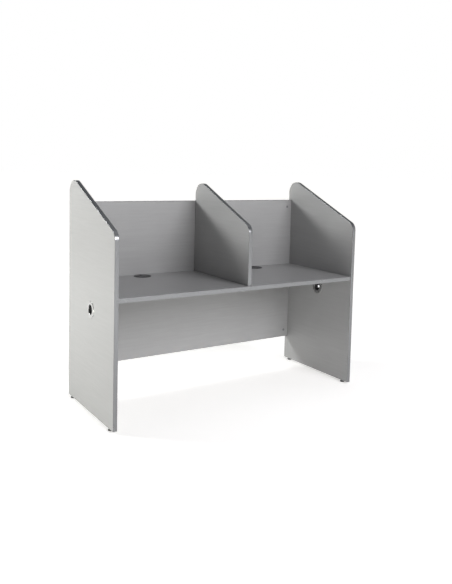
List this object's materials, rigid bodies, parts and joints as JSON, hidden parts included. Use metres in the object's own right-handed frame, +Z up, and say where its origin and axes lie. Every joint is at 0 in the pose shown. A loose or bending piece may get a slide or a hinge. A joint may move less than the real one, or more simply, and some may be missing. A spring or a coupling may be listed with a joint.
{
  "type": "study carrel",
  "caption": "Side-by-side study carrel with sloped end panels, a divider, a shared worktop, a back panel, cable grommets, cable ports and levelling feet.",
  "frame": {"origin": "on the floor, under the middle of the carrel's box", "axes": "+X along the worktop towards the right end panel, +Y from the reader towards the back panel, +Z up"},
  "size_m": [1.707, 0.7, 1.3364],
  "materials": {
    "laminate": "satin grey melamine on chipboard",
    "edging": "semi-gloss grey edging strip",
    "black_plastic": "fine textured black moulding",
    "chrome": "polished",
    "zinc": "zinc plated",
    "rubber": "soft black",
    "foot_plastic": "moulded dark grey nylon",
    "cap_plastic": "satin grey",
    "beech": "raw fluted beech"
  },
  "bodies": {
    "carrel": {"back_bottom_edging": "edging", "back_panel": "laminate", "back_top_edging": "edging", "divider_base_front_screw": "zinc", "divider_base_rear_screw": "zinc", "divider_edging": "edging", "divider_panel": "laminate", "divider_rear_lower_screw": "zinc", "divider_rear_upper_screw": "zinc", "left_back_dowel": "beech", "left_back_lower_cam": "zinc", "left_back_lower_cam_bolt": "zinc", "left_back_lower_cam_cap": "cap_plastic", "left_back_upper_cam": "zinc", "left_back_upper_cam_bolt": "zinc", "left_back_upper_cam_cap": "cap_plastic", "left_end_edging": "edging", "left_end_panel": "laminate", "left_front_foot_insert": "zinc", "left_grommet_liner": "black_plastic", "left_port_ring": "chrome", "left_port_seal": "rubber", "left_port_sleeve": "chrome", "left_rear_foot_insert": "zinc", "left_worktop_front_cam": "zinc", "left_worktop_front_cam_bolt": "zinc", "left_worktop_front_dowel": "beech", "left_worktop_rear_cam": "zinc", "left_worktop_rear_cam_bolt": "zinc", "left_worktop_rear_dowel": "beech", "right_back_dowel": "beech", "right_back_lower_cam": "zinc", "right_back_lower_cam_bolt": "zinc", "right_back_lower_cam_cap": "cap_plastic", "right_back_upper_cam": "zinc", "right_back_upper_cam_bolt": "zinc", "right_back_upper_cam_cap": "cap_plastic", "right_end_edging": "edging", "right_end_panel": "laminate", "right_front_foot_insert": "zinc", "right_grommet_liner": "black_plastic", "right_port_ring": "chrome", "right_port_seal": "rubber", "right_port_sleeve": "chrome", "right_rear_foot_insert": "zinc", "right_worktop_front_cam": "zinc", "right_worktop_front_cam_bolt": "zinc", "right_worktop_front_dowel": "beech", "right_worktop_rear_cam": "zinc", "right_worktop_rear_cam_bolt": "zinc", "right_worktop_rear_dowel": "beech", "worktop_front_edging": "edging", "worktop_panel": "laminate"},
    "left_cap": {"left_grommet_cap": "black_plastic"},
    "left_front_leveller": {"left_front_foot": "foot_plastic"},
    "left_rear_leveller": {"left_rear_foot": "foot_plastic"},
    "right_cap": {"right_grommet_cap": "black_plastic"},
    "right_front_leveller": {"right_front_foot": "foot_plastic"},
    "right_rear_leveller": {"right_rear_foot": "foot_plastic"}
  },
  "joints": [
    {"name": "left_cap_turn", "type": "hinge", "parent": "carrel", "child": "left_cap", "pos_m": [-0.405, 0.255, 0.73], "axis": [0, 0, 1], "continuous": true},
    {"name": "left_front_foot_screw", "type": "slide", "parent": "carrel", "child": "left_front_leveller", "axis": [0, 0, -1], "range_m": [0, 0.01]},
    {"name": "left_rear_foot_screw", "type": "slide", "parent": "carrel", "child": "left_rear_leveller", "axis": [0, 0, -1], "range_m": [0, 0.01]},
    {"name": "right_cap_turn", "type": "hinge", "parent": "carrel", "child": "right_cap", "pos_m": [0.46, 0.255, 0.73], "axis": [0, 0, 1], "continuous": true},
    {"name": "right_front_foot_screw", "type": "slide", "parent": "carrel", "child": "right_front_leveller", "axis": [0, 0, -1], "range_m": [0, 0.01]},
    {"name": "right_rear_foot_screw", "type": "slide", "parent": "carrel", "child": "right_rear_leveller", "axis": [0, 0, -1], "range_m": [0, 0.01]}
  ]
}
